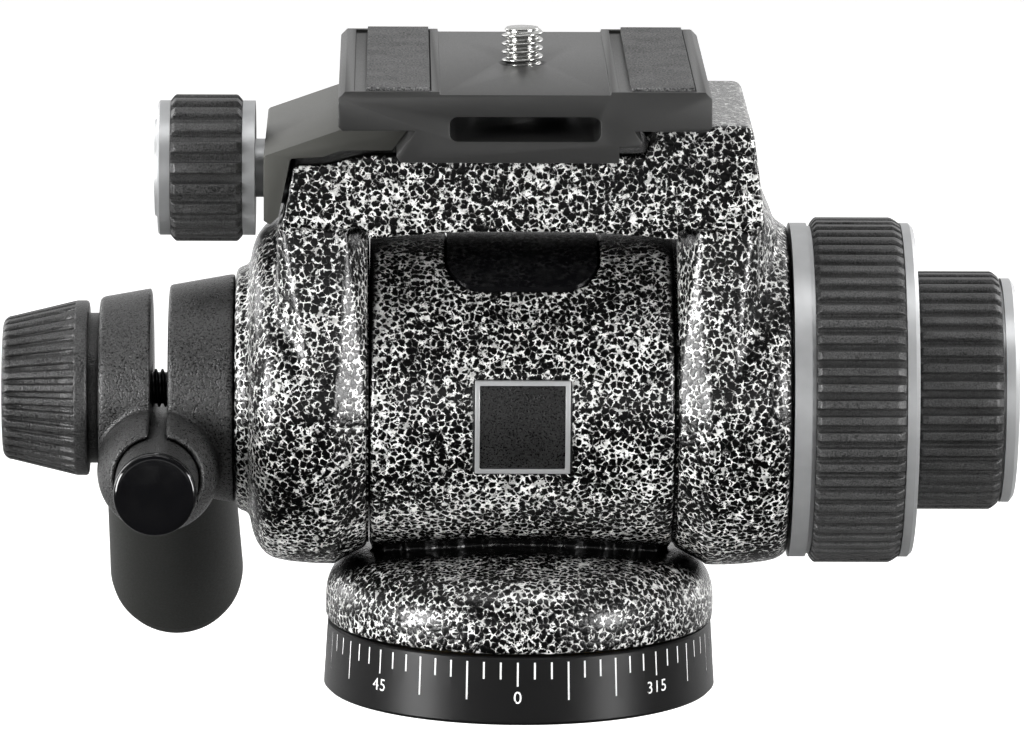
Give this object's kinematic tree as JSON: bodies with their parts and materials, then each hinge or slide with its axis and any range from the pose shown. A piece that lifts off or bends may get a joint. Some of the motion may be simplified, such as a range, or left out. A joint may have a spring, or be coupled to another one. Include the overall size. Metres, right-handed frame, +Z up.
{
  "type": "fluid video head",
  "caption": "Fluid pan and tilt head for a video tripod, with a quick release plate, tilt and pan locks on one side and a bent handle on the other.",
  "frame": {"origin": "centre of the tripod thread at the underside of the base", "axes": "+Z up along the pan axis, +X towards the tilt and pan lock knobs, +Y towards the handle grip; the blank badge faces -Y"},
  "size_m": [0.1567, 0.1388, 0.1147],
  "materials": {
    "black_anodised": "satin black anodising with white scale marks",
    "hammered_paint": "glossy black and silver hammered paint on cast aluminium",
    "satin_metal": "satin grey anodising",
    "bright_metal": "turned bright aluminium",
    "plate_anodised": "dark grey anodising",
    "jaw_anodised": "grey anodising",
    "rubber": "matte black",
    "pad_rubber": "matte dark grey",
    "steel": "plain turned steel",
    "bronze": "sintered bronze",
    "black_plastic": "fine textured black",
    "gloss_black": "glossy black",
    "black_paint": "sand textured black paint on aluminium",
    "lining": "pressed friction lining",
    "polymer": "plain bearing polymer"
  },
  "bodies": {
    "base": {"base_ring": "black_anodised", "tripod_bush": "steel", "base_screws": "steel", "pan_spindle": "steel", "pan_damper_cup": "bronze", "pan_thrust_washer": "polymer", "pan_spring_washer": "steel", "pan_nut": "steel"},
    "pan": {"pan_body": "hammered_paint", "pan_damper_rotor": "bronze", "pan_bush": "bronze", "drum_cover": "gloss_black", "badge_frame": "bright_metal", "badge_panel": "black_plastic", "drum_end_cap": "satin_metal", "tilt_bush_left": "bronze", "tilt_damper_cup": "bronze", "tilt_axle": "steel", "axle_screws": "steel", "brake_key": "steel", "brake_pin_guide": "satin_metal", "wheel_retaining_ring": "steel", "knob_retaining_ring": "steel"},
    "brake_pin": {"pan_brake_pin": "bronze"},
    "push_rod": {"pan_push_rod": "steel"},
    "tilt_brake": {"pressure_plate": "steel"},
    "tilt_wheel": {"tilt_wheel_core": "satin_metal", "tilt_wheel_grip": "rubber"},
    "pan_knob": {"pan_knob_core": "satin_metal", "pan_knob_grip": "rubber", "pan_knob_cap": "bright_metal"},
    "tilt": {"saddle": "hammered_paint", "tilt_trunnion": "steel", "trunnion_screws": "steel", "tilt_damper_rotor": "bronze", "tilt_bush_right": "bronze", "brake_lining": "lining", "jaw_springs": "steel"},
    "jaw": {"clamp_jaw": "jaw_anodised", "jaw_guide_pins": "steel"},
    "clamp_knob": {"clamp_knob_core": "satin_metal", "clamp_knob_grip": "rubber", "clamp_screw": "steel"},
    "plate": {"quick_plate": "plate_anodised", "plate_pads": "pad_rubber"},
    "camera_screw": {"camera_screw": "steel"},
    "handle_clamp": {"handle_clamp": "black_paint"},
    "washer": {"knob_washer": "gloss_black"},
    "cone_knob": {"cone_knob": "black_plastic", "clamp_stud": "steel"},
    "handle": {"handle_bar": "black_paint", "bar_end_cap": "gloss_black", "handle_grip": "rubber"}
  },
  "joints": [
    {"name": "pan_turn", "type": "hinge", "parent": "base", "child": "pan", "pos_m": [0, 0, 0], "axis": [0, 0, 1], "continuous": true},
    {"name": "tilt_turn", "type": "hinge", "parent": "pan", "child": "tilt", "pos_m": [0, 0, 0.0465], "axis": [1, 0, 0], "range_deg": [-90, 90]},
    {"name": "tilt_lock_turn", "type": "hinge", "parent": "pan", "child": "tilt_wheel", "pos_m": [0.05, 0, 0.0465], "axis": [1, 0, 0], "range_deg": [-90.5, 0]},
    {"name": "tilt_brake_slide", "type": "slide", "parent": "pan", "child": "tilt_brake", "axis": [1, 0, 0], "range_m": [-0.00025, 0]},
    {"name": "pan_lock_turn", "type": "hinge", "parent": "pan", "child": "pan_knob", "pos_m": [0.067, 0, 0.0465], "axis": [1, 0, 0], "range_deg": [-217, 0]},
    {"name": "push_rod_slide", "type": "slide", "parent": "pan", "child": "push_rod", "axis": [1, 0, 0], "range_m": [-0.0006, 0]},
    {"name": "brake_pin_slide", "type": "slide", "parent": "pan", "child": "brake_pin", "axis": [0, 0, 1], "range_m": [-0.00061, 0]},
    {"name": "jaw_slide", "type": "slide", "parent": "tilt", "child": "jaw", "axis": [1, 0, 0], "range_m": [-0.0035, 0]},
    {"name": "clamp_knob_turn", "type": "hinge", "parent": "jaw", "child": "clamp_knob", "pos_m": [-0.048, 0, 0.08095], "axis": [1, 0, 0], "range_deg": [-1262, 0]},
    {"name": "plate_slide", "type": "slide", "parent": "tilt", "child": "plate", "axis": [0, 1, 0], "range_m": [-0.01, 0.01]},
    {"name": "camera_screw_turn", "type": "hinge", "parent": "plate", "child": "camera_screw", "pos_m": [0, 0, 0.0975], "axis": [0, 0, 1], "continuous": true},
    {"name": "handle_turn", "type": "hinge", "parent": "tilt", "child": "handle_clamp", "pos_m": [-0.0545, 0, 0.0465], "axis": [1, 0, 0], "range_deg": [-65, 70]},
    {"name": "handle_slide", "type": "slide", "parent": "handle_clamp", "child": "handle", "axis": [0, 1, 0], "range_m": [-0.0035, 0.01]},
    {"name": "washer_slide", "type": "slide", "parent": "tilt", "child": "washer", "axis": [1, 0, 0], "range_m": [-0.002, 0]},
    {"name": "cone_knob_turn", "type": "hinge", "parent": "washer", "child": "cone_knob", "pos_m": [-0.073, 0, 0.0465], "axis": [1, 0, 0], "range_deg": [-722, 0]}
  ],
  "couplings": [
    {"joint": "tilt_lock_turn", "follows": "tilt_brake_slide", "rad_per_m": 6283.2},
    {"joint": "pan_lock_turn", "follows": "push_rod_slide", "rad_per_m": 6283.2},
    {"joint": "brake_pin_slide", "follows": "push_rod_slide", "ratio": 1},
    {"joint": "clamp_knob_turn", "follows": "jaw_slide", "rad_per_m": 6283.2},
    {"joint": "cone_knob_turn", "follows": "washer_slide", "rad_per_m": 6283.2}
  ]
}
